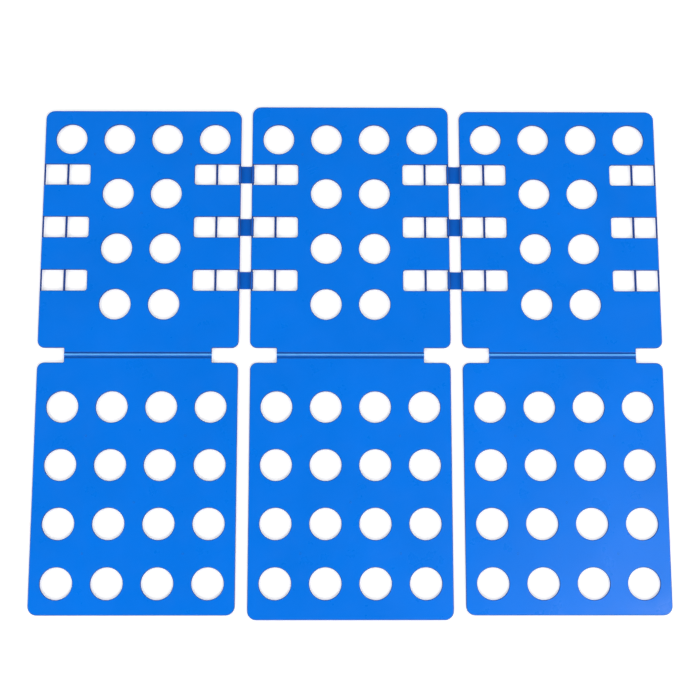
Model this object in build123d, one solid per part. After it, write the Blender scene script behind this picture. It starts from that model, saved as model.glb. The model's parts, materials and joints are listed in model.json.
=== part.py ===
from build123d import *
import os

# A shirt folding board, lying open and flat. It is three moulded polypropylene boards side by
# side. Each board is an upper and a lower leaf joined by a living hinge, a thin flexible web
# across its middle. Link clips join the side boards to the centre one: each clip curls round a
# bar on both boards, so a side board can lift, swing over and lie flat on the centre.
#
# Frame: +X to the right, +Y to the collar end, +Z up. The origin is on the table under the
# middle of the board, so the hinge line is y = 0. Millimetres.

# Boards
OVERALL_WIDTH = 700.0
GAP = 12.5                       # between two boards
SIDE_LEAF = 286.0                # hinge line to the end of a side leaf
CENTRE_LEAF = 291.0
THICKNESS = 2.8
END_CORNER = 10.0                # radius at the far corners of a leaf
HINGE_CORNER = 8.0               # radius beside the hinge notch
NOTCH_CORNER = 1.0               # radius at the inside corners of a hinge notch
LOWER_RECESS = 0.4               # a lower leaf is this much narrower on each side

# Living hinge
WEB_HALF = 3.0                   # the leaves stop this far from the hinge line
WEB_THICKNESS = 0.5
WEB_SECTION = (                  # the web's upper face across the hinge: a bead between two grooves
    (WEB_HALF, 1.75),
    (2.2, 1.75),
    (1.2, 2.45),
)
NOTCH_HALF = 8.3                 # half of the notch at each end of the hinge
NOTCH_DEPTH = 30.0

# Air holes
HOLE_RADIUS = 17.5
COLUMN_PITCH = 54.8
ROW_PITCH = 64.57
FIRST_ROW = 58.3                 # first row's distance from the hinge line
ROWS = 4

# Square windows along both long edges of an upper leaf, and the bars that cross them
WINDOW = 24.0
WINDOW_CORNER = 3.0
WINDOW_ROWS = (86.0, 148.0, 210.0)
EDGE_BAR_RADIUS = 1.05           # the bar that a clip turns on
EDGE_BAR_INSET = 1.08            # its axis from the board's edge
MIDDLE_BAR_RADIUS = 1.3
BAR_DROP = 0.03                  # a bar's top below the face
BAR_ROOT = 1.0                   # how far a bar's ends run into the leaf

# Link clips
CLIP_LENGTH = 20.0
CLIP_CLEARANCE = 0.08            # between bar and curl, on the radius
CLIP_WALL = 0.57
CLIP_MOUTH = 0.4                 # the curl's lip above the bar's axis

# Worked out from the above
BOARD_WIDTH = (OVERALL_WIDTH - 2 * GAP) / 3
BOARD_PITCH = BOARD_WIDTH + GAP
HALF_BOARD = BOARD_WIDTH / 2
HOLE_COLUMNS = [COLUMN_PITCH * k for k in (-1.5, -0.5, 0.5, 1.5)]
HOLE_ROWS = [FIRST_ROW + ROW_PITCH * k for k in range(ROWS)]
SLOT_DEPTH = 2 * EDGE_BAR_RADIUS + 2 * MIDDLE_BAR_RADIUS + 2 * WINDOW
EDGE_BAR_HEIGHT = THICKNESS - BAR_DROP - EDGE_BAR_RADIUS
MIDDLE_BAR_HEIGHT = THICKNESS - BAR_DROP - MIDDLE_BAR_RADIUS
MIDDLE_BAR_INSET = 2 * EDGE_BAR_RADIUS + WINDOW + MIDDLE_BAR_RADIUS
BOARDS = {"left": (-BOARD_PITCH, SIDE_LEAF), "centre": (0.0, CENTRE_LEAF), "right": (BOARD_PITCH, SIDE_LEAF)}
CLIP_ROWS = dict(zip(("bottom", "middle", "top"), WINDOW_ROWS))


def corners_at(face, x, y):
    """The face's corners at distance x each side of its middle and height y."""
    return [v for v in face.vertices() if abs(abs(v.X) - x) < 0.01 and abs(v.Y - y) < 0.01]


def leaf_face(length, half_width):
    """The outline of a leaf that lies from the hinge towards +Y."""
    half_hinge = HALF_BOARD - NOTCH_DEPTH
    right_side = [
        (half_hinge, WEB_HALF),
        (half_hinge, NOTCH_HALF),
        (half_width, NOTCH_HALF),
        (half_width, length),
    ]
    left_side = [(-x, y) for x, y in reversed(right_side)]
    face = make_face(Polyline(*right_side, *left_side, close=True))
    for x, y, radius in (
        (half_width, length, END_CORNER),
        (half_width, NOTCH_HALF, HINGE_CORNER),
        (half_hinge, NOTCH_HALF, NOTCH_CORNER),
    ):
        face = fillet(corners_at(face, x, y), radius)
    return face


def bar(x, y, z, radius):
    """A round bar along Y that crosses one window."""
    return Pos(x, y, z) * Rot(90, 0, 0) * Cylinder(radius, WINDOW + 2 * BAR_ROOT)


def upper_leaf(length):
    """Air holes in every place that the windows leave free, and two windows a row at each edge."""
    face = leaf_face(length, HALF_BOARD)
    for y in HOLE_ROWS:
        columns = HOLE_COLUMNS if y == HOLE_ROWS[-1] else HOLE_COLUMNS[1:-1]
        for x in columns:
            face -= Pos(x, y) * Circle(HOLE_RADIUS)
    for y in WINDOW_ROWS:
        for side in (-1, 1):
            face -= Pos(side * HALF_BOARD, y) * RectangleRounded(2 * SLOT_DEPTH, WINDOW, WINDOW_CORNER)
    leaf = extrude(face, THICKNESS)
    for y in WINDOW_ROWS:
        for side in (-1, 1):
            leaf += bar(side * (HALF_BOARD - EDGE_BAR_INSET), y, EDGE_BAR_HEIGHT, EDGE_BAR_RADIUS)
            leaf += bar(side * (HALF_BOARD - MIDDLE_BAR_INSET), y, MIDDLE_BAR_HEIGHT, MIDDLE_BAR_RADIUS)
    return leaf


def lower_leaf(length):
    """A full grid of air holes. It lies from the hinge towards -Y."""
    face = leaf_face(length, HALF_BOARD - LOWER_RECESS)
    for y in HOLE_ROWS:
        for x in HOLE_COLUMNS:
            face -= Pos(x, y) * Circle(HOLE_RADIUS)
    return extrude(mirror(face, about=Plane.XZ), THICKNESS)


def hinge_web():
    """The thin web between the two leaves of a board: a bead that bends, and a groove each side."""
    upper = list(WEB_SECTION) + [(-y, z) for y, z in reversed(WEB_SECTION)]
    lower = [(y, z - WEB_THICKNESS) for y, z in reversed(upper)]
    section = Plane.YZ * make_face(Polyline(*upper, *lower, close=True))
    return extrude(section, HALF_BOARD - NOTCH_DEPTH, both=True)


def clip_curl(side):
    """One end of a clip about a bar along Y at the origin. Its mouth opens to that side."""
    inner = EDGE_BAR_RADIUS + CLIP_CLEARANCE
    outer = inner + CLIP_WALL
    curl = Rot(90, 0, 0) * (Cylinder(outer, CLIP_LENGTH) - Cylinder(inner, CLIP_LENGTH))
    mouth = Box(
        2 * outer, CLIP_LENGTH, inner + CLIP_MOUTH, align=(Align.MIN, Align.CENTER, Align.MIN)
    )
    if side < 0:
        mouth = Rot(0, 0, 180) * mouth
    return curl - Pos(0, 0, -inner) * mouth


def link_clip(side, y):
    """A strip under the gap, curled round the edge bar of the board on each side of it."""
    near = side * (HALF_BOARD - EDGE_BAR_INSET)
    far = side * (HALF_BOARD + GAP + EDGE_BAR_INSET)
    inner = EDGE_BAR_RADIUS + CLIP_CLEARANCE
    strip = Pos((near + far) / 2, y, EDGE_BAR_HEIGHT - inner - CLIP_WALL / 2)
    strip = strip * Box(abs(far - near), CLIP_LENGTH, CLIP_WALL)
    near_curl = Pos(near, y, EDGE_BAR_HEIGHT) * clip_curl(side)
    far_curl = Pos(far, y, EDGE_BAR_HEIGHT) * clip_curl(-side)
    return strip + near_curl + far_curl


os.makedirs("parts", exist_ok=True)
for board, (x, length) in BOARDS.items():
    export_step(Pos(x, 0, 0) * upper_leaf(length), f"parts/{board}_upper_leaf.step")
    export_step(Pos(x, 0, 0) * lower_leaf(length), f"parts/{board}_lower_leaf.step")
    export_step(Pos(x, 0, 0) * hinge_web(), f"parts/{board}_hinge_web.step")
for name, side in (("left", -1), ("right", 1)):
    for row, y in CLIP_ROWS.items():
        export_step(link_clip(side, y), f"parts/{name}_clip_{row}.step")
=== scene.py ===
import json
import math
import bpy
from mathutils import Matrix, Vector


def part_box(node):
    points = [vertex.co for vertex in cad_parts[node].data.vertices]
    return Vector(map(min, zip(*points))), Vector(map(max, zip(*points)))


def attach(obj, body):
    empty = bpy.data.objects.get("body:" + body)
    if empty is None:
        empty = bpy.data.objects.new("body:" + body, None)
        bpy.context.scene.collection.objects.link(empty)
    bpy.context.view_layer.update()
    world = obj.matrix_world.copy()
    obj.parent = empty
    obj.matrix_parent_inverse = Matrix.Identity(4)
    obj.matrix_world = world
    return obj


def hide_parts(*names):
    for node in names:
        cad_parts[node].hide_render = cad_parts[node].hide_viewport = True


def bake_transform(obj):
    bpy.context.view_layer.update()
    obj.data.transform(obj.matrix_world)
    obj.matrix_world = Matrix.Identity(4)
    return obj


bl_info = {
    "name": "Shirt Folding Board",
    "version": (1, 0, 0),
    "blender": (4, 5, 0),
    "location": "View3D > Sidebar > Folding Board",
    "description": "Perforated plastic folding board with living hinges and link clips",
    "category": "Add Mesh",
}

import bpy
from bpy.props import FloatProperty, FloatVectorProperty, IntProperty, PointerProperty
from mathutils import Matrix, Vector

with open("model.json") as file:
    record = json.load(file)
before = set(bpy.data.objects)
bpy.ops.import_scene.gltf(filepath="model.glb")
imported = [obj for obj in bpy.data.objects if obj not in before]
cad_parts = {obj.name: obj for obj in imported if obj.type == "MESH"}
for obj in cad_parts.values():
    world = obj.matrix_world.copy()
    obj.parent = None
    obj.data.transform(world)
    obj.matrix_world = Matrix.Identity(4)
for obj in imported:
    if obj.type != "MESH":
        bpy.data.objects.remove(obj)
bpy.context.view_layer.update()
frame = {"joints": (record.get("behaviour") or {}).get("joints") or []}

MM = 0.001
BOARDS = ("left", "centre", "right")
CLIP_SIDES = ("left", "right")
CLIP_ROWS = ("bottom", "middle", "top")
GATE_MARKS = {                        # across and away from the middle of a hinge line, in mm
    "upper": ((-54.8, 234.0), (54.8, 234.0), (0.0, 164.0)),
    "lower": ((-54.8, 219.7), (54.8, 219.7), (0.0, 164.0), (-54.8, 90.6), (54.8, 90.6)),
}
HOLE_STEPS = 64                       # straight runs round an air hole
PIN_STEPS = 20                        # round an ejector pin's mark
BAR_STEPS = 24                        # round a window bar
WEB_RUNS = 24                         # points along a hinge web
WELD = 0.005 * MM                     # joins a leaf's edges to its faces
SHARP = math.radians(50)              # a clip's edges past this angle stay crisp


# ---------------------------------------------------------------- what the frame says

def joint_place(name):
    """Where a joint's axis is, in the frame."""
    return Vector(next(j["pos_m"] for j in frame["joints"] if j["name"] == name))


def clip_row(row):
    """The middle of a row of link clips, which is also the middle of its windows."""
    low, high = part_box(f"left_clip_{row}")
    return (low.y + high.y) / 2


LEAF_LOW, LEAF_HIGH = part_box("centre_upper_leaf")
THICKNESS = LEAF_HIGH.z - LEAF_LOW.z
HALF_BOARD = (LEAF_HIGH.x - LEAF_LOW.x) / 2
BAR_AXIS = joint_place("right_clip_swing")
FAR_BAR_AXIS = joint_place("right_board_fold")
CLIP_LOW, CLIP_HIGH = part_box("right_clip_middle")
WEB_LOW, WEB_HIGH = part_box("centre_hinge_web")


# ---------------------------------------------------------------- settings

def length_property(name, description, millimetres):
    """A length that is typed in the scene's units."""
    return FloatProperty(
        name=name, description=description, default=millimetres * MM, min=0.0, unit="LENGTH",
        subtype="DISTANCE", precision=5,
    )


def colour_property(name, description, value):
    """A colour that is kept linear, from its sRGB hex value."""
    return FloatVectorProperty(
        name=name, description=description, default=linear(value), size=3, min=0.0, max=1.0,
        subtype="COLOR",
    )


def linear(value):
    """A linear colour from an sRGB hex value such as 0577ED."""
    channels = [int(value[k:k + 2], 16) / 255 for k in (0, 2, 4)]
    return [c / 12.92 if c <= 0.04045 else ((c + 0.055) / 1.055) ** 2.4 for c in channels]


class LeafSettings(bpy.types.PropertyGroup):
    """Sizes of the boards' leaves."""

    edge_radius: length_property("Edge radius", "Rounding of every edge of a leaf", 1.0)
    end_corner: length_property("End corner", "Radius of a leaf's far corners", 10.0)
    hinge_corner: length_property("Hinge corner", "Radius of the corners beside a hinge notch", 8.0)
    notch_corner: length_property("Notch corner", "Radius inside a hinge notch", 1.1)
    web_corner: length_property("Web corner", "Radius where the hinge edge meets a notch", 1.1)
    notch_half: length_property("Notch half height", "Hinge line to a notch's edge", 8.3)
    hole_radius: length_property("Hole radius", "Radius of an air hole", 17.5)
    column_pitch: length_property("Column pitch", "Air hole spacing across a leaf", 54.8)
    row_pitch: length_property("Row pitch", "Air hole spacing along a leaf", 64.57)
    first_row: length_property("First row", "Hinge line to the first row of air holes", 58.3)
    grid: IntProperty(
        name="Holes a side", description="Rows and columns of air holes", default=4, min=2
    )
    pin_radius: length_property("Pin mark radius", "Ejector pin's mark on the underside", 3.0)
    pin_depth: length_property("Pin mark depth", "How far an ejector pin's mark is sunk", 0.15)
    gate_radius: length_property("Gate mark radius", "Pip left where the plastic was fed in", 1.1)
    gate_height: length_property("Gate mark height", "The pip's height above the face", 0.15)


class WindowSettings(bpy.types.PropertyGroup):
    """Sizes of the windows along an upper leaf's long edges, and of the bars that cross them."""

    size: length_property("Window", "Side of one square window", 24.0)
    corner: length_property("Window corner", "Radius at a window's inner corners", 3.0)
    mouth_corner: length_property("Mouth corner", "Radius where a window meets the leaf's edge", 1.1)
    edge_bar: length_property("Edge bar", "Radius of the bar that a clip turns on", 1.05)
    middle_bar: length_property("Middle bar", "Radius of the bar between two windows", 1.3)
    bar_root: length_property("Bar root", "How far a bar's ends run into the leaf", 1.0)
    bar_drop: length_property("Bar drop", "A middle bar's top below the leaf's face", 0.03)


class HingeSettings(bpy.types.PropertyGroup):
    """Sizes of the living hinge's web."""

    thickness: length_property("Web thickness", "Thickness of the flexing web", 0.5)
    bend_half: length_property("Bend half width", "Hinge line to where the web stops bending", 1.2)
    bead_shift: length_property("Bead shift", "Bead's middle towards the upper leaf", 0.8)
    bead_half: length_property("Bead half width", "Middle of the raised bead to its edge", 0.8)
    groove_half: length_property("Groove start", "Middle of the bead to the flat of the groove", 1.6)
    root: length_property("Web root", "How far the web runs into each leaf", 0.3)


class ClipSettings(bpy.types.PropertyGroup):
    """Sizes of the link clips."""

    wall: length_property("Clip wall", "Thickness of the clip's strip", 0.57)
    lip_rise: length_property("Lip rise", "The curl's lip above the bar's axis", 0.4)
    edge_radius: length_property("Clip edge radius", "Rounding of the strip's edges", 0.2)


class FinishSettings(bpy.types.PropertyGroup):
    """Colours of the plastic, with its painted shade and painted highlight blues."""

    board: colour_property("Board blue", "Faces of the moulded boards", "0276E9")
    # Painted shade: a darker blue painted on edges, hole walls and window bars, where shade falls.
    wall: colour_property("Wall blue", "Edges, hole walls and bars, which read darker", "023888")
    # Partly the real stress-whitened colour, partly a painted highlight: the light line along the hinge
    # web.
    film: colour_property("Film blue", "The web where bending has whitened it", "64B8FF")
    # Painted shade: the darker blue of the web's grooves beside its bead.
    groove: colour_property("Groove blue", "The web beside its bead", "0064C8")
    clip: colour_property("Clip blue", "The link clips", "0262CC")
    table: colour_property("Table white", "The lighting table that the board lies on", "FAFAFA")


class BoardSettings(bpy.types.PropertyGroup):
    """All settings of the folding board."""

    leaf: PointerProperty(type=LeafSettings)
    window: PointerProperty(type=WindowSettings)
    hinge: PointerProperty(type=HingeSettings)
    clip: PointerProperty(type=ClipSettings)
    finish: PointerProperty(type=FinishSettings)


# ---------------------------------------------------------------- node helpers


def add_node(tree, kind, inputs=None, **settings):
    """Add a node, apply its settings, then link or set its inputs by name or number."""
    made = tree.nodes.new(kind)
    for name, value in settings.items():
        setattr(made, name, value)
    for key, value in (inputs or {}).items():
        for source in value if isinstance(value, list) else [value]:
            if isinstance(source, bpy.types.NodeSocket):
                tree.links.new(source, made.inputs[key])
            else:
                made.inputs[key].default_value = source
    return made


def new_geometry_tree(name, sockets):
    """A geometry tree with a geometry input and output, and these named inputs."""
    tree = bpy.data.node_groups.new(name, "GeometryNodeTree")
    tree.interface.new_socket("Geometry", in_out="INPUT", socket_type="NodeSocketGeometry")
    for label, kind in sockets.items():
        tree.interface.new_socket(label, in_out="INPUT", socket_type=f"NodeSocket{kind}")
    tree.interface.new_socket("Geometry", in_out="OUTPUT", socket_type="NodeSocketGeometry")
    return tree, tree.nodes.new("NodeGroupInput").outputs


def finish_tree(tree, geometry, material):
    """End a tree: real geometry with its material."""
    real = add_node(tree, "GeometryNodeRealizeInstances", {"Geometry": geometry})
    painted = add_node(
        tree, "GeometryNodeSetMaterial", {"Geometry": real.outputs[0], "Material": material}
    )
    add_node(tree, "NodeGroupOutput", {"Geometry": painted.outputs[0]})
    return tree


def grow(name, *steps):
    """A piece at the origin whose mesh is what these trees and their inputs make in turn."""
    piece = bpy.data.objects.new(name, bpy.data.meshes.new(name))
    bpy.context.scene.collection.objects.link(piece)
    for tree, values in steps:
        modifier = piece.modifiers.new(tree.name, "NODES")
        modifier.node_group = tree
        sockets = {s.name: s.identifier for s in tree.interface.items_tree if s.in_out == "INPUT"}
        for label, value in values.items():
            modifier[sockets[label]] = value
    evaluated = piece.evaluated_get(bpy.context.evaluated_depsgraph_get())
    mesh = bpy.data.meshes.new_from_object(evaluated)
    if not mesh.polygons:
        raise RuntimeError(f"{name} came out empty")
    piece.modifiers.clear()
    piece.data = mesh
    mesh.name = name
    # A tree's own primitives leave an empty slot in front of the material.
    for k in reversed(range(len(mesh.materials))):
        if mesh.materials[k] is None:
            mesh.materials.pop(index=k)
    return piece


def curve_guide(name, points, closed):
    """A curve of straight runs through these points, for a tree to read."""
    data = bpy.data.curves.new(name, "CURVE")
    data.dimensions = "3D"
    spline = data.splines.new("POLY")
    spline.points.add(len(points) - 1)
    for point, place in zip(spline.points, points):
        point.co = (*place, 1.0)
    spline.use_cyclic_u = closed
    guide = bpy.data.objects.new(name, data)
    bpy.context.scene.collection.objects.link(guide)
    return guide


def point_guide(name, places):
    """Loose points for a tree to read."""
    mesh = bpy.data.meshes.new(name)
    mesh.from_pydata(places, [], [])
    guide = bpy.data.objects.new(name, mesh)
    bpy.context.scene.collection.objects.link(guide)
    return guide


def drop(*guides):
    """Take away guides that have done their work."""
    for guide in guides:
        bpy.data.objects.remove(guide)


def arc(centre, radius, start, end, steps):
    """Points on an arc in a plane, from one angle to another."""
    angles = [start + (end - start) * k / steps for k in range(steps + 1)]
    return [(centre[0] + radius * math.cos(a), centre[1] + radius * math.sin(a)) for a in angles]


def rounded(corners, steps=8):
    """A closed outline through these corners (x, y, radius), each turned as an arc."""
    outline = []
    for k, (x, y, radius) in enumerate(corners):
        here = Vector((x, y))
        back = (Vector(corners[k - 1][:2]) - here).normalized()
        ahead = (Vector(corners[(k + 1) % len(corners)][:2]) - here).normalized()
        centre = here + (back + ahead) * radius
        first = math.atan2(-ahead.y, -ahead.x)
        turn = (math.atan2(-back.y, -back.x) - first + math.pi) % (2 * math.pi) - math.pi
        outline += arc(centre, radius, first, first + turn, steps)
    return outline


# ---------------------------------------------------------------- materials

MIX_A, MIX_B, MIX_OUT = 6, 7, 2       # a Mix node's colour sockets
NOISE_SPAN = (0.3, 0.7)               # where most of a noise pattern's values lie
WHOLE_SPAN = (0.0, 1.0)
SCRATCH_SPAN = (0.7, 0.78)            # only its highest values, so scratches are sparse
POLYPROPYLENE_IOR = 1.49
BOARD_ROUGHNESS, CLIP_ROUGHNESS = 0.3, 0.34
GROOVE_ROUGHNESS, BEAD_ROUGHNESS = 0.36, 0.5
# Painted shade fades in from the first uprightness and is full at the second.
FACE_UPRIGHT, WALL_UPRIGHT = 0.995, 0.8    # how upright a normal is, from a face to a wall
WALL_DULLNESS, SCRATCH_DULLNESS = 0.25, 0.12
CLOUD_SIZE = 110 * MM                 # clouds of pigment
SATIN_SIZE = 30 * MM                  # patches of duller skin
SHEET_WAVE = 80 * MM                  # slow waves in the sheet, and their depth
SHEET_DEPTH = 0.5 * MM
GRAIN_SIZE = 0.9 * MM                 # the mould's grain is about 0.1 mm: drawn coarse, so it shows
GRAIN_DEPTH = 0.03 * MM
SCRATCHES = (                         # angle, width and length of the two sets
    (math.radians(24), 0.5 * MM, 90 * MM),
    (math.radians(-63), 0.4 * MM, 60 * MM),
)
SCRATCH_DEPTH = 0.003 * MM
# Varies the bead's painted highlight and stress-whitened colour along the hinge.
STRESS_PATCH = 14 * MM                # whiter and bluer stretches along a bent film
CREASE_SIZE = 0.8 * MM
CREASE_DEPTH = 0.02 * MM


def new_material(name):
    """A material with a bare Principled shader, and its tree."""
    material = bpy.data.materials.new(name)
    material.use_nodes = True
    tree = material.node_tree
    tree.nodes.clear()
    shader = add_node(tree, "ShaderNodeBsdfPrincipled")
    add_node(tree, "ShaderNodeOutputMaterial", {"Surface": shader.outputs[0]})
    return material, tree, shader.inputs


def patches(tree, vector, size, start, end, detail=2.0, roughness=0.5, span=NOISE_SPAN):
    """A soft random pattern with lumps of about this size, spread between two values."""
    lumps = add_node(
        tree, "ShaderNodeTexNoise",
        {"Vector": vector, "Scale": 1 / size, "Detail": detail, "Roughness": roughness},
    )
    return add_node(tree, "ShaderNodeMapRange", {
        "Value": lumps.outputs[0], "From Min": span[0], "From Max": span[1],
        "To Min": start, "To Max": end,
    }).outputs[0]


def hairlines(tree, vector, turn, width, length):
    """Sparse straight scratches at one angle, 1 on a scratch and 0 off it."""
    laid = add_node(tree, "ShaderNodeMapping", {
        "Vector": vector, "Rotation": (0.0, 0.0, turn), "Scale": (length, width, 1.0),
    }, vector_type="TEXTURE")
    return patches(tree, laid.outputs[0], 1.0, 0.0, 1.0, detail=0.0, span=SCRATCH_SPAN)


def moulded_polypropylene(name, face, wall, roughness):
    """Injection moulded polypropylene: a satin skin over coloured plastic.

    It gives soft, wide highlights, faint clouds of colour, a spark-eroded grain and hairline
    scuffs from being slid about. Walls, rounded edges and bars get painted shade, a darker blue.
    """
    material, tree, shader = new_material(name)
    coordinate = add_node(tree, "ShaderNodeTexCoord").outputs
    place = coordinate["Object"]
    clouds = patches(tree, place, CLOUD_SIZE, 0.96, 1.04, detail=3.0)
    # Painted shade: surfaces that turn away from upright, on rounded edges and hole walls, take the wall
    # blue.
    normal = add_node(tree, "ShaderNodeSeparateXYZ", {0: coordinate["Normal"]})
    upright = add_node(tree, "ShaderNodeMath", {0: normal.outputs[2]}, operation="ABSOLUTE")
    painted_wall_shade = add_node(
        tree, "ShaderNodeMapRange",
        {"Value": upright.outputs[0], "From Min": FACE_UPRIGHT, "From Max": WALL_UPRIGHT},
    )
    # Painted shade: the window bars carry an attribute that gives them the wall blue all over.
    thin = add_node(tree, "ShaderNodeAttribute", attribute_name="deep_pigment")
    painted_shade = add_node(
        tree, "ShaderNodeMath", {0: painted_wall_shade.outputs[0], 1: thin.outputs["Fac"]},
        operation="MAXIMUM",
    )
    # The board blue mixed with the painted shade blue.
    pigment_and_painted_shade = add_node(
        tree, "ShaderNodeMix",
        {"Factor": painted_shade.outputs[0], MIX_A: (*face, 1.0), MIX_B: (*wall, 1.0)},
        data_type="RGBA",
    )
    tinted = add_node(
        tree, "ShaderNodeHueSaturation", {"Value": clouds, "Color": pigment_and_painted_shade.outputs[MIX_OUT]}
    )
    tree.links.new(tinted.outputs[0], shader["Base Color"])
    scuffs = add_node(
        tree, "ShaderNodeMath",
        dict(enumerate(hairlines(tree, place, *scratch) for scratch in SCRATCHES)),
        operation="MAXIMUM",
    )
    satin = patches(
        tree, place, SATIN_SIZE, roughness - 0.04, roughness + 0.05, detail=4.0, roughness=0.6
    )
    worn = add_node(
        tree, "ShaderNodeMath", {0: scuffs.outputs[0], 1: SCRATCH_DULLNESS, 2: satin},
        operation="MULTIPLY_ADD",
    )
    rubbed = add_node(
        tree, "ShaderNodeMath", {0: painted_shade.outputs[0], 1: WALL_DULLNESS, 2: worn.outputs[0]},
        operation="MULTIPLY_ADD",
    )
    tree.links.new(rubbed.outputs[0], shader["Roughness"])
    sheet = add_node(tree, "ShaderNodeBump", {
        "Height": patches(tree, place, SHEET_WAVE, *WHOLE_SPAN, span=WHOLE_SPAN),
        "Strength": 1.0, "Distance": SHEET_DEPTH,
    })
    grain = add_node(tree, "ShaderNodeBump", {
        "Height": patches(tree, place, GRAIN_SIZE, *WHOLE_SPAN, roughness=0.6, span=WHOLE_SPAN),
        "Strength": 1.0, "Distance": GRAIN_DEPTH, "Normal": sheet.outputs[0],
    })
    scratched = add_node(tree, "ShaderNodeBump", {
        "Height": scuffs.outputs[0], "Strength": 1.0, "Distance": SCRATCH_DEPTH,
        "Normal": grain.outputs[0],
    }, invert=True)
    tree.links.new(scratched.outputs[0], shader["Normal"])
    shader["IOR"].default_value = POLYPROPYLENE_IOR
    shader["Specular IOR Level"].default_value = 0.4
    return material


def opal_acrylic(colour):
    """A lighting table's opal acrylic: matt, white and lit a little from below."""
    material, tree, shader = new_material("opal_acrylic")
    shader["Base Color"].default_value = (*colour, 1.0)
    shader["Roughness"].default_value = 0.9
    shader["Specular IOR Level"].default_value = 0.1
    shader["Emission Color"].default_value = (*colour, 1.0)
    shader["Emission Strength"].default_value = FLOOR_GLOW
    return material


def flexed_film(film, groove):
    """The same polypropylene drawn thin at the hinge, a smooth satin web.

    Its bead is lighter, unevenly along the hinge: partly stress-whitened by bending, partly a painted
    highlight where light glints on and shows through the web. The groove beside is painted shade, a
    darker blue.
    """
    material, tree, shader = new_material("flexed_polypropylene_film")
    place = add_node(tree, "ShaderNodeTexCoord").outputs["Object"]
    # The lighter bead line: partly stress-whitened plastic, partly a painted highlight.
    whitened_and_lit = add_node(tree, "ShaderNodeAttribute", attribute_name="whitening")
    uneven = patches(tree, place, STRESS_PATCH, 0.8, 1.0, detail=3.0)
    white = add_node(
        tree, "ShaderNodeMath", {0: whitened_and_lit.outputs["Fac"], 1: uneven}, operation="MULTIPLY"
    )
    # Mixes the groove's painted shade with the bead's lighter blue.
    mixed = add_node(
        tree, "ShaderNodeMix",
        {"Factor": white.outputs[0], MIX_A: (*groove, 1.0), MIX_B: (*film, 1.0)},
        data_type="RGBA",
    )
    tree.links.new(mixed.outputs[MIX_OUT], shader["Base Color"])
    rough = add_node(
        tree, "ShaderNodeMapRange",
        {"Value": white.outputs[0], "To Min": GROOVE_ROUGHNESS, "To Max": BEAD_ROUGHNESS},
    )
    tree.links.new(rough.outputs[0], shader["Roughness"])
    drawn = add_node(tree, "ShaderNodeMapping", {"Vector": place, "Scale": (1.0, 0.1, 1.0)})
    creases = add_node(tree, "ShaderNodeBump", {
        "Height": patches(tree, drawn.outputs[0], CREASE_SIZE, *WHOLE_SPAN, span=WHOLE_SPAN),
        "Strength": 1.0, "Distance": CREASE_DEPTH,
    })
    tree.links.new(creases.outputs[0], shader["Normal"])
    shader["IOR"].default_value = POLYPROPYLENE_IOR
    return material


# ---------------------------------------------------------------- leaves

def leaf_corners(centre, half_width, near, length, rows, leaf, window):
    """The corners of a leaf's outline from its hinge edge up, anticlockwise: (x, y, radius)."""
    half_web = (WEB_HIGH.x - WEB_LOW.x) / 2
    slot = 2 * (window.size + window.edge_bar + window.middle_bar)
    right = [
        (half_web, near, leaf.web_corner),
        (half_web, leaf.notch_half, leaf.notch_corner),
        (half_width, leaf.notch_half, leaf.hinge_corner),
    ]
    for y in rows:
        low, high = y - window.size / 2, y + window.size / 2
        right += [
            (half_width, low, window.mouth_corner),
            (half_width - slot, low, window.corner),
            (half_width - slot, high, window.corner),
            (half_width, high, window.mouth_corner),
        ]
    right.append((half_width, length, leaf.end_corner))
    left = [(-x, y, radius) for x, y, radius in reversed(right)]
    return [(centre + x, y, radius) for x, y, radius in right + left]


def rim_section(radius, steps=5):
    """A leaf's edge from its upper face round to its lower one, as (outwards, -height)."""
    upper = arc((-radius, THICKNESS - radius), radius, math.pi / 2, 0, steps)
    lower = arc((-radius, radius), radius, 0, -math.pi / 2, steps)
    return [(x, -z, 0.0) for x, z in upper + lower]


def spaced_points(tree, given, count):
    """Points at the air holes' spacing, this many a side, and the number of gaps between them."""
    gaps = add_node(tree, "ShaderNodeMath", {0: count, 1: 1.0}, operation="SUBTRACT").outputs[0]
    width, height = (
        add_node(tree, "ShaderNodeMath", {0: gaps, 1: given[pitch]}, operation="MULTIPLY").outputs[0]
        for pitch in ("Column pitch", "Row pitch")
    )
    grid = add_node(tree, "GeometryNodeMeshGrid", {
        "Size X": width, "Size Y": height, "Vertices X": count, "Vertices Y": count,
    })
    return grid.outputs[0], gaps


def circles_at(tree, given, spots, radius, steps):
    """A circle at each of these points, once they are moved to the grid's place on the leaf."""
    moved = add_node(
        tree, "GeometryNodeTransform", {"Geometry": spots, "Translation": given["Grid centre"]}
    )
    circle = add_node(
        tree, "GeometryNodeCurvePrimitiveCircle", {"Resolution": steps, "Radius": radius}
    )
    circles = add_node(
        tree, "GeometryNodeInstanceOnPoints", {"Points": moved.outputs[0], "Instance": circle.outputs[0]}
    )
    return add_node(tree, "GeometryNodeRealizeInstances", {"Geometry": circles.outputs[0]}).outputs[0]


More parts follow.
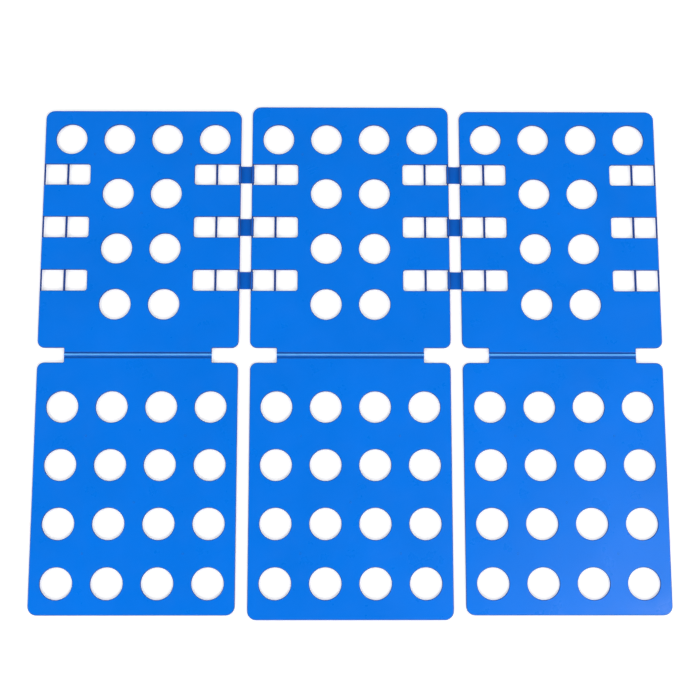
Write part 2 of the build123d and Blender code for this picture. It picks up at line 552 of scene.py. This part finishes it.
def perforated_leaf_tree():
    """A flat leaf: an outline and a grid of air holes, every edge rolled to one section.

    The underside has a shallow round dent in each gap between four holes, an ejector pin's mark.
    """
    tree, given = new_geometry_tree("Perforated leaf", {
        "Outline": "Object", "Rim section": "Object", "Thickness": "Float", "Edge radius": "Float",
        "Hole radius": "Float", "Column pitch": "Float", "Row pitch": "Float", "Holes a side": "Int",
        "Grid centre": "Vector", "Free rows": "Float", "Pin radius": "Float", "Pin depth": "Float",
        "Material": "Material",
    })
    spots, gaps = spaced_points(tree, given, given["Holes a side"])
    place = add_node(
        tree, "ShaderNodeSeparateXYZ", {0: add_node(tree, "GeometryNodeInputPosition").outputs[0]}
    )
    across = add_node(tree, "ShaderNodeMath", {0: place.outputs[0]}, operation="ABSOLUTE")
    outer = add_node(
        tree, "FunctionNodeCompare", {0: across.outputs[0], 1: given["Column pitch"]},
        data_type="FLOAT", operation="GREATER_THAN",
    )
    low = add_node(
        tree, "FunctionNodeCompare", {0: place.outputs[1], 1: given["Free rows"]},
        data_type="FLOAT", operation="LESS_THAN",
    )
    taken = add_node(
        tree, "FunctionNodeBooleanMath", {0: outer.outputs[0], 1: low.outputs[0]}, operation="AND"
    )
    free = add_node(
        tree, "GeometryNodeDeleteGeometry", {"Geometry": spots, "Selection": taken.outputs[0]}
    )
    holes = circles_at(tree, given, free.outputs[0], given["Hole radius"], HOLE_STEPS)
    inward = add_node(tree, "GeometryNodeReverseCurve", {"Curve": holes})
    outline = add_node(tree, "GeometryNodeObjectInfo", {"Object": given["Outline"]})
    loops = add_node(
        tree, "GeometryNodeJoinGeometry", {0: [outline.outputs["Geometry"], inward.outputs[0]]}
    )
    loops = add_node(tree, "GeometryNodeSetCurveNormal", {"Curve": loops.outputs[0]}, mode="Z_UP")
    section = add_node(tree, "GeometryNodeObjectInfo", {"Object": given["Rim section"]})
    rims = add_node(
        tree, "GeometryNodeCurveToMesh",
        {"Curve": loops.outputs[0], "Profile Curve": section.outputs["Geometry"]},
    )
    rims = add_node(
        tree, "GeometryNodeSetShadeSmooth", {"Geometry": rims.outputs[0], "Shade Smooth": True}
    )
    inset = add_node(tree, "ShaderNodeMath", {0: given["Edge radius"], 1: -1.0}, operation="MULTIPLY")
    shift = add_node(
        tree, "ShaderNodeVectorMath",
        {0: add_node(tree, "GeometryNodeInputNormal").outputs[0], "Scale": inset.outputs[0]},
        operation="SCALE",
    )
    inner = add_node(
        tree, "GeometryNodeSetPosition", {"Geometry": loops.outputs[0], "Offset": shift.outputs[0]}
    )
    face = add_node(tree, "GeometryNodeFillCurve", {"Curve": inner.outputs[0]}, mode="TRIANGLES")
    face = add_node(
        tree, "GeometryNodeSetShadeSmooth", {"Geometry": face.outputs[0], "Shade Smooth": False}
    )
    lift = add_node(tree, "ShaderNodeCombineXYZ", {2: given["Thickness"]})
    upper = add_node(
        tree, "GeometryNodeTransform", {"Geometry": face.outputs[0], "Translation": lift.outputs[0]}
    )
    pin_spots, _ = spaced_points(tree, given, gaps)
    pins = circles_at(tree, given, pin_spots, given["Pin radius"], PIN_STEPS)
    under = add_node(tree, "GeometryNodeJoinGeometry", {0: [inner.outputs[0], pins]})
    under = add_node(tree, "GeometryNodeFillCurve", {"Curve": under.outputs[0]}, mode="TRIANGLES")
    discs = add_node(tree, "GeometryNodeFillCurve", {"Curve": pins}, mode="NGONS")
    discs = add_node(tree, "GeometryNodeFlipFaces", {"Mesh": discs.outputs[0]})
    sunk = add_node(tree, "ShaderNodeMath", {0: given["Pin depth"], 1: -1.0}, operation="MULTIPLY")
    dents = add_node(
        tree, "GeometryNodeExtrudeMesh",
        {"Mesh": discs.outputs[0], "Offset Scale": sunk.outputs[0], "Individual": False},
    )
    lower = add_node(tree, "GeometryNodeFlipFaces", {"Mesh": under.outputs[0]})
    lower = add_node(tree, "GeometryNodeJoinGeometry", {0: [lower.outputs[0], dents.outputs[0]]})
    lower = add_node(
        tree, "GeometryNodeSetShadeSmooth", {"Geometry": lower.outputs[0], "Shade Smooth": False}
    )
    shell = add_node(
        tree, "GeometryNodeJoinGeometry", {0: [rims.outputs[0], upper.outputs[0], lower.outputs[0]]}
    )
    shell = add_node(
        tree, "GeometryNodeMergeByDistance", {"Geometry": shell.outputs[0], "Distance": WELD}
    )
    return finish_tree(tree, shell.outputs[0], given["Material"])


def window_bar_tree():
    """Round bars along Y, one each side of a board at every window row."""
    tree, given = new_geometry_tree("Window bars", {
        "First row": "Vector", "Row step": "Vector", "Rows": "Int",
        "Reach": "Float", "Height": "Float", "Radius": "Float", "Half length": "Float",
        "Material": "Material",
    })
    back = add_node(tree, "ShaderNodeMath", {0: given["Half length"], 1: -1.0}, operation="MULTIPLY")
    start = add_node(
        tree, "ShaderNodeCombineXYZ", {0: given["Reach"], 1: back.outputs[0], 2: given["Height"]}
    )
    end = add_node(
        tree, "ShaderNodeCombineXYZ", {0: given["Reach"], 1: given["Half length"], 2: given["Height"]}
    )
    axis = add_node(
        tree, "GeometryNodeCurvePrimitiveLine", {"Start": start.outputs[0], "End": end.outputs[0]}
    )
    round_section = add_node(
        tree, "GeometryNodeCurvePrimitiveCircle", {"Resolution": BAR_STEPS, "Radius": given["Radius"]}
    )
    bar = add_node(tree, "GeometryNodeCurveToMesh", {
        "Curve": axis.outputs[0], "Profile Curve": round_section.outputs[0], "Fill Caps": True,
    })
    turned = add_node(
        tree, "GeometryNodeTransform", {"Geometry": bar.outputs[0], "Rotation": (0.0, 0.0, math.pi)}
    )
    pair = add_node(tree, "GeometryNodeJoinGeometry", {0: [bar.outputs[0], turned.outputs[0]]})
    spots = add_node(tree, "GeometryNodeMeshLine", {
        "Count": given["Rows"], "Start Location": given["First row"], "Offset": given["Row step"],
    })
    bars = add_node(
        tree, "GeometryNodeInstanceOnPoints", {"Points": spots.outputs[0], "Instance": pair.outputs[0]}
    )
    real = add_node(tree, "GeometryNodeRealizeInstances", {"Geometry": bars.outputs[0]})
    soft = add_node(
        tree, "GeometryNodeSetShadeSmooth", {"Geometry": real.outputs[0], "Shade Smooth": True}
    )
    # Painted shade: marks the bars so they take the darker wall blue all over.
    painted_shade = add_node(
        tree, "GeometryNodeStoreNamedAttribute",
        {"Geometry": soft.outputs[0], "Name": "deep_pigment", "Value": 1.0},
        data_type="FLOAT", domain="POINT",
    )
    both = add_node(tree, "GeometryNodeJoinGeometry", {0: [given["Geometry"], painted_shade.outputs[0]]})
    return finish_tree(tree, both.outputs[0], given["Material"])


def gate_mark_tree():
    """Low round pips on a leaf's face, where the plastic was fed in."""
    tree, given = new_geometry_tree("Gate marks", {
        "Places": "Object", "Radius": "Float", "Height": "Float", "Material": "Material",
    })
    places = add_node(tree, "GeometryNodeObjectInfo", {"Object": given["Places"]})
    ball = add_node(tree, "GeometryNodeMeshUVSphere", {"Segments": 16, "Rings": 8, "Radius": 1.0})
    size = add_node(
        tree, "ShaderNodeCombineXYZ", {0: given["Radius"], 1: given["Radius"], 2: given["Height"]}
    )
    pips = add_node(tree, "GeometryNodeInstanceOnPoints", {
        "Points": places.outputs["Geometry"], "Instance": ball.outputs[0], "Scale": size.outputs[0],
    })
    real = add_node(tree, "GeometryNodeRealizeInstances", {"Geometry": pips.outputs[0]})
    soft = add_node(
        tree, "GeometryNodeSetShadeSmooth", {"Geometry": real.outputs[0], "Shade Smooth": True}
    )
    both = add_node(tree, "GeometryNodeJoinGeometry", {0: [given["Geometry"], soft.outputs[0]]})
    return finish_tree(tree, both.outputs[0], given["Material"])


def tree_named(name, build):
    """A geometry tree that is built once and then shared."""
    return bpy.data.node_groups.get(name) or build()


def material_named(name, build):
    """A material that is built once and then shared."""
    return bpy.data.materials.get(name) or build()


def board_plastic(settings):
    """The boards' plastic."""
    finish = settings.finish
    # The wall blue passed here is the painted shade for edges, hole walls and bars.
    return material_named(
        "moulded_polypropylene",
        lambda: moulded_polypropylene(
            "moulded_polypropylene", finish.board, finish.wall, BOARD_ROUGHNESS
        ),
    )


def make_leaf(board, half, settings):
    """One leaf of a board, from its CAD box: the upper one has windows, the lower one hasn't."""
    node = f"{board}_{half}_leaf"
    low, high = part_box(node)
    centre, half_width = (low.x + high.x) / 2, (high.x - low.x) / 2
    sign = 1 if half == "upper" else -1
    near, length = sorted((abs(low.y), abs(high.y)))
    leaf, window = settings.leaf, settings.window
    rows = [clip_row(row) for row in CLIP_ROWS] if half == "upper" else []
    corners = leaf_corners(centre, half_width, near, length, rows, leaf, window)
    outline = [(x, sign * y, 0.0) for x, y in rounded(corners)][::sign]
    outline = curve_guide("outline_guide", outline, True)
    section = curve_guide("rim_guide", rim_section(leaf.edge_radius), False)
    plastic = board_plastic(settings)
    grid_middle = leaf.first_row + leaf.row_pitch * (leaf.grid - 1) / 2
    steps = [(tree_named("Perforated leaf", perforated_leaf_tree), {
        "Outline": outline, "Rim section": section, "Thickness": THICKNESS,
        "Edge radius": leaf.edge_radius, "Hole radius": leaf.hole_radius,
        "Column pitch": leaf.column_pitch, "Row pitch": leaf.row_pitch, "Holes a side": leaf.grid,
        "Grid centre": (centre, sign * grid_middle, 0.0),
        "Free rows": leaf.row_pitch if rows else -length,
        "Pin radius": leaf.pin_radius, "Pin depth": leaf.pin_depth, "Material": plastic,
    })]
    middle_reach = HALF_BOARD - 2 * window.edge_bar - window.size - window.middle_bar
    middle_height = THICKNESS - window.bar_drop - window.middle_bar
    bars = [(BAR_AXIS.x, BAR_AXIS.z, window.edge_bar), (middle_reach, middle_height, window.middle_bar)]
    for reach, height, radius in bars if rows else []:
        steps.append((tree_named("Window bars", window_bar_tree), {
            "First row": (centre, rows[0], 0.0), "Row step": (0.0, rows[1] - rows[0], 0.0),
            "Rows": len(rows), "Reach": reach, "Height": height, "Radius": radius,
            "Half length": window.size / 2 + window.bar_root, "Material": plastic,
        }))
    places = [(centre + x * MM, sign * y * MM, THICKNESS) for x, y in GATE_MARKS[half]]
    gates = point_guide("gate_guide", places)
    steps.append((tree_named("Gate marks", gate_mark_tree), {
        "Places": gates, "Radius": leaf.gate_radius, "Height": leaf.gate_height,
        "Material": plastic,
    }))
    piece = grow(f"{node}_moulding", *steps)
    drop(outline, section, gates)
    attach(piece, f"{board}_{half}")
    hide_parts(node)


# ---------------------------------------------------------------- living hinges

def web_section(hinge, steps=40):
    """The web's closed section across the hinge: a bead between two grooves."""
    reach = WEB_HIGH.y + hinge.root
    floor, bead = WEB_LOW.z + hinge.thickness, WEB_HIGH.z
    upper = []
    for k in range(steps + 1):
        y = reach * (2 * k / steps - 1)
        away = abs(y - hinge.bead_shift)
        rise = min(max((hinge.groove_half - away) / (hinge.groove_half - hinge.bead_half), 0), 1)
        upper.append((y, floor + (bead - floor) * rise * rise * (3 - 2 * rise)))
    lower = [(y, z - hinge.thickness) for y, z in reversed(upper)]
    return [(-y, -z, 0.0) for y, z in reversed(upper + lower)]


# Where the bead's painted highlight and stress-whitened colour are full, and where they fade out.
LIGHT_LINE_FULL, LIGHT_LINE_ENDS = 0.8, 1.3    # in half widths of the bead, from its middle


def hinge_web_tree():
    """A thin web along the hinge line, with how light its bead is: partly stress-whitened by bending,
    partly a painted highlight.
    """
    tree, given = new_geometry_tree("Living hinge", {
        "Section": "Object", "Start": "Vector", "End": "Vector", "Bead shift": "Float",
        "Bead half": "Float", "Material": "Material",
    })
    line = add_node(
        tree, "GeometryNodeCurvePrimitiveLine", {"Start": given["Start"], "End": given["End"]}
    )
    line = add_node(tree, "GeometryNodeResampleCurve", {"Curve": line.outputs[0], "Count": WEB_RUNS})
    section = add_node(tree, "GeometryNodeObjectInfo", {"Object": given["Section"]})
    web = add_node(tree, "GeometryNodeCurveToMesh", {
        "Curve": line.outputs[0], "Profile Curve": section.outputs["Geometry"], "Fill Caps": True,
    })
    soft = add_node(
        tree, "GeometryNodeSetShadeSmooth", {"Geometry": web.outputs[0], "Shade Smooth": True}
    )
    place = add_node(
        tree, "ShaderNodeSeparateXYZ", {0: add_node(tree, "GeometryNodeInputPosition").outputs[0]}
    )
    side = add_node(
        tree, "ShaderNodeMath", {0: place.outputs[1], 1: given["Bead shift"]}, operation="SUBTRACT"
    )
    away = add_node(tree, "ShaderNodeMath", {0: side.outputs[0]}, operation="ABSOLUTE")
    share = add_node(
        tree, "ShaderNodeMath", {0: away.outputs[0], 1: given["Bead half"]}, operation="DIVIDE"
    )
    white = add_node(tree, "ShaderNodeMapRange", {
        "Value": share.outputs[0], "From Min": LIGHT_LINE_ENDS, "From Max": LIGHT_LINE_FULL,
    })
    # Stores the lighter bead line: partly stress-whitened plastic, partly a painted highlight.
    marked = add_node(
        tree, "GeometryNodeStoreNamedAttribute",
        {"Geometry": soft.outputs[0], "Name": "whitening", "Value": white.outputs[0]},
        data_type="FLOAT", domain="POINT",
    )
    return finish_tree(tree, marked.outputs[0], given["Material"])


def make_hinge(board, settings):
    """The web of one board's living hinge."""
    node = f"{board}_hinge_web"
    low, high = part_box(node)
    hinge, finish = settings.hinge, settings.finish
    section = curve_guide("web_guide", web_section(hinge), True)
    film = material_named(
        "flexed_polypropylene_film", lambda: flexed_film(finish.film, finish.groove)
    )
    web = grow(f"{node}_film", (tree_named("Living hinge", hinge_web_tree), {
        "Section": section, "Start": (low.x, 0.0, 0.0), "End": (high.x, 0.0, 0.0),
        "Bead shift": hinge.bead_shift, "Bead half": hinge.bead_half, "Material": film,
    }))
    drop(section)
    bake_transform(web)
    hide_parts(node)


# ---------------------------------------------------------------- link clips

def clip_path(side, clip, steps=16):
    """The middle line of a clip: round one bar, under the gap and round the other bar."""
    outer = BAR_AXIS.z - CLIP_LOW.z
    radius = outer - clip.wall / 2
    lip = math.asin(clip.lip_rise / radius)
    near = arc((BAR_AXIS.x, BAR_AXIS.z), radius, lip, 1.5 * math.pi, steps)
    far = arc((FAR_BAR_AXIS.x, FAR_BAR_AXIS.z), radius, -0.5 * math.pi, math.pi - lip, steps)
    return [(side * x, 0.0, z) for x, z in near + far]


def link_clip_tree():
    """A rounded strip that follows a path, at every clip row."""
    tree, given = new_geometry_tree("Link clips", {
        "Path": "Object", "Length": "Float", "Wall": "Float", "Edge radius": "Float",
        "First row": "Vector", "Row step": "Vector", "Rows": "Int", "Material": "Material",
    })
    path = add_node(tree, "GeometryNodeObjectInfo", {"Object": given["Path"]})
    strip = add_node(
        tree, "GeometryNodeCurvePrimitiveQuadrilateral",
        {"Width": given["Length"], "Height": given["Wall"]}, mode="RECTANGLE",
    )
    strip = add_node(
        tree, "GeometryNodeFilletCurve",
        {"Curve": strip.outputs[0], "Count": 3, "Radius": given["Edge radius"]}, mode="POLY",
    )
    clip = add_node(tree, "GeometryNodeCurveToMesh", {
        "Curve": path.outputs["Geometry"], "Profile Curve": strip.outputs[0], "Fill Caps": True,
    })
    clip = add_node(
        tree, "GeometryNodeSetShadeSmooth", {"Geometry": clip.outputs[0], "Shade Smooth": True}
    )
    bend = add_node(tree, "GeometryNodeInputMeshEdgeAngle")
    sharp = add_node(
        tree, "FunctionNodeCompare", {0: bend.outputs["Unsigned Angle"], 1: SHARP},
        data_type="FLOAT", operation="GREATER_THAN",
    )
    clip = add_node(
        tree, "GeometryNodeSetShadeSmooth",
        {"Geometry": clip.outputs[0], "Selection": sharp.outputs[0], "Shade Smooth": False},
        domain="EDGE",
    )
    spots = add_node(tree, "GeometryNodeMeshLine", {
        "Count": given["Rows"], "Start Location": given["First row"], "Offset": given["Row step"],
    })
    clips = add_node(
        tree, "GeometryNodeInstanceOnPoints", {"Points": spots.outputs[0], "Instance": clip.outputs[0]}
    )
    return finish_tree(tree, clips.outputs[0], given["Material"])


def make_clips(side, settings):
    """The link clips between the centre board and one side board."""
    clip, finish = settings.clip, settings.finish
    rows = [clip_row(row) for row in CLIP_ROWS]
    sign = -1 if side == "left" else 1
    path = curve_guide("clip_guide", clip_path(sign, clip), False)
    # The clips' turned surfaces take the painted shade blue too.
    plastic = material_named(
        "clip_polypropylene",
        lambda: moulded_polypropylene(
            "clip_polypropylene", finish.clip, finish.wall, CLIP_ROUGHNESS
        ),
    )
    clips = grow(f"{side}_link_clips", (tree_named("Link clips", link_clip_tree), {
        "Path": path, "Length": CLIP_HIGH.y - CLIP_LOW.y, "Wall": clip.wall,
        "Edge radius": clip.edge_radius, "First row": (0.0, rows[0], 0.0),
        "Row step": (0.0, rows[1] - rows[0], 0.0), "Rows": len(rows), "Material": plastic,
    }))
    drop(path)
    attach(clips, f"{side}_clips")
    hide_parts(*(f"{side}_clip_{row}" for row in CLIP_ROWS))


# ---------------------------------------------------------------- stage

CAMERA_PLACE = Vector((-0.0129, -0.2786, 1.5578))
CAMERA_TILT = math.radians(10.37)
CAMERA_YAW = math.radians(-0.458)
CAMERA_ROLL = math.radians(-0.023)
CAMERA_LENS = 72.67                   # mm
CAMERA_SENSOR = 36.0                  # mm wide
FLOOR_RADIUS = 1.7
FLOOR_GLOW = 0.3
FLOOR_DROP = 0.1 * MM                 # keeps the table off the boards' undersides
WALL_TOP, CEILING_EDGE = 0.4, 0.8     # height on a sphere round the board, from walls to ceiling
WALL_GLOW, CEILING_GLOW = 1.1, 0.01
WALLS_REFLECTED = 0.35                # share of the walls' light that reflections see
SOFTBOXES = (                         # place, width, height, watts
    ((-2.2, 0.0, 1.2), 1.6, 1.2, 19.0),
    ((2.2, 0.0, 1.2), 1.6, 1.2, 20.0),
    ((0.0, 2.3, 1.3), 2.0, 1.0, 6.0),
    ((0.0, -2.3, 1.3), 2.0, 1.0, 31.0),
    ((0.72, -0.4, 1.5), 0.4, 0.4, 3.0),
)


def make_floor(settings):
    """A round white lighting table under the board."""
    mesh = bpy.data.meshes.new("lighting_table")
    rim = arc((0.0, 0.0), FLOOR_RADIUS, 0.0, 2 * math.pi, 64)[:-1]
    mesh.from_pydata([(x, y, -FLOOR_DROP) for x, y in rim], [], [range(len(rim))])
    floor = bpy.data.objects.new("lighting_table", mesh)
    bpy.context.scene.collection.objects.link(floor)
    mesh.materials.append(opal_acrylic(settings.finish.table))


def make_light(place, width, height, power):
    """A softbox that faces the board."""
    data = bpy.data.lights.new("softbox", "AREA")
    data.shape = "RECTANGLE"
    data.size, data.size_y, data.energy = width, height, power
    light = bpy.data.objects.new("softbox", data)
    bpy.context.scene.collection.objects.link(light)
    light.location = place
    light.rotation_euler = (-Vector(place)).to_track_quat("-Z", "Y").to_euler()


def make_world():
    """Pale studio walls round a darker ceiling, so the board's upper face keeps its colour.

    Reflections see dimmer walls, as black cards beside a product would make them, so the blue
    doesn't wash out at a low angle.
    """
    world = bpy.data.worlds.new("studio")
    bpy.context.scene.world = world
    world.use_nodes = True
    tree = world.node_tree
    tree.nodes.clear()
    place = add_node(tree, "ShaderNodeTexCoord")
    height = add_node(tree, "ShaderNodeSeparateXYZ", {0: place.outputs["Generated"]})
    glow = add_node(tree, "ShaderNodeMapRange", {
        "Value": height.outputs[2], "From Min": WALL_TOP, "From Max": CEILING_EDGE,
        "To Min": WALL_GLOW, "To Max": CEILING_GLOW,
    })
    path = add_node(tree, "ShaderNodeLightPath")
    card = add_node(
        tree, "ShaderNodeMapRange",
        {"Value": path.outputs["Is Glossy Ray"], "To Min": 1.0, "To Max": WALLS_REFLECTED},
    )
    walls = add_node(
        tree, "ShaderNodeMath", {0: glow.outputs[0], 1: card.outputs[0]}, operation="MULTIPLY"
    )
    sky = add_node(
        tree, "ShaderNodeBackground", {"Color": (1.0, 1.0, 1.0, 1.0), "Strength": walls.outputs[0]}
    )
    add_node(tree, "ShaderNodeOutputWorld", {"Surface": sky.outputs[0]})


def make_camera():
    """A camera above the board, leaning a little towards the collar end."""
    data = bpy.data.cameras.new("camera")
    data.lens = CAMERA_LENS
    data.sensor_width = CAMERA_SENSOR
    camera = bpy.data.objects.new("camera", data)
    bpy.context.scene.collection.objects.link(camera)
    turn = Matrix.Rotation(CAMERA_YAW, 4, "Y") @ Matrix.Rotation(CAMERA_TILT, 4, "X")
    turn = turn @ Matrix.Rotation(CAMERA_ROLL, 4, "Z")
    camera.matrix_world = Matrix.Translation(CAMERA_PLACE) @ turn
    bpy.context.scene.camera = camera


# ---------------------------------------------------------------- operators and panel

class BOARD_OT_upper_leaves(bpy.types.Operator):
    """Make the upper leaves, with their air holes, windows and bars"""

    bl_idname = "folding_board.upper_leaves"
    bl_label = "Upper Leaves"

    def execute(self, context):
        for board in BOARDS:
            make_leaf(board, "upper", context.scene.folding_board)
        return {"FINISHED"}


class BOARD_OT_lower_leaves(bpy.types.Operator):
    """Make the lower leaves, with their full grid of air holes"""

    bl_idname = "folding_board.lower_leaves"
    bl_label = "Lower Leaves"

    def execute(self, context):
        for board in BOARDS:
            make_leaf(board, "lower", context.scene.folding_board)
        return {"FINISHED"}


class BOARD_OT_living_hinges(bpy.types.Operator):
    """Make the webs that join each board's leaves"""

    bl_idname = "folding_board.living_hinges"
    bl_label = "Living Hinges"

    def execute(self, context):
        for board in BOARDS:
            make_hinge(board, context.scene.folding_board)
        return {"FINISHED"}


class BOARD_OT_link_clips(bpy.types.Operator):
    """Make the clips that join the side boards to the centre board"""

    bl_idname = "folding_board.link_clips"
    bl_label = "Link Clips"

    def execute(self, context):
        for side in CLIP_SIDES:
            make_clips(side, context.scene.folding_board)
        return {"FINISHED"}


class BOARD_OT_stage(bpy.types.Operator):
    """Make the lighting table, the softboxes and the camera"""

    bl_idname = "folding_board.stage"
    bl_label = "Stage"

    def execute(self, context):
        make_floor(context.scene.folding_board)
        for softbox in SOFTBOXES:
            make_light(*softbox)
        make_world()
        make_camera()
        context.scene.view_settings.view_transform = "Standard"
        return {"FINISHED"}


class BOARD_PT_panel(bpy.types.Panel):
    """Lists the board's operators in the 3D view's sidebar"""

    bl_idname = "BOARD_PT_panel"
    bl_label = "Folding Board"
    bl_space_type = "VIEW_3D"
    bl_region_type = "UI"
    bl_category = "Folding Board"

    def draw(self, context):
        settings = context.scene.folding_board
        for group in ("leaf", "window", "hinge", "clip", "finish"):
            box = self.layout.box()
            box.label(text=group.capitalize())
            values = getattr(settings, group)
            for name in values.__annotations__:
                box.prop(values, name)
        for operator in OPERATORS:
            self.layout.operator(operator.bl_idname)


SETTINGS = (
    LeafSettings, WindowSettings, HingeSettings, ClipSettings, FinishSettings, BoardSettings
)
OPERATORS = (
    BOARD_OT_upper_leaves, BOARD_OT_lower_leaves, BOARD_OT_living_hinges, BOARD_OT_link_clips,
    BOARD_OT_stage,
)
CLASSES = (*SETTINGS, *OPERATORS, BOARD_PT_panel)


def register():
    """Add the settings, operators and panel."""
    for kind in CLASSES:
        bpy.utils.register_class(kind)
    bpy.types.Scene.folding_board = PointerProperty(type=BoardSettings)


def unregister():
    """Take them away again."""
    del bpy.types.Scene.folding_board
    for kind in reversed(CLASSES):
        bpy.utils.unregister_class(kind)


def main():
    """Build the board and its stage."""
    register()
    bpy.ops.folding_board.upper_leaves()
    bpy.ops.folding_board.lower_leaves()
    bpy.ops.folding_board.living_hinges()
    bpy.ops.folding_board.link_clips()
    bpy.ops.folding_board.stage()
    bpy.context.view_layer.update()


if __name__ == "__main__":
    main()
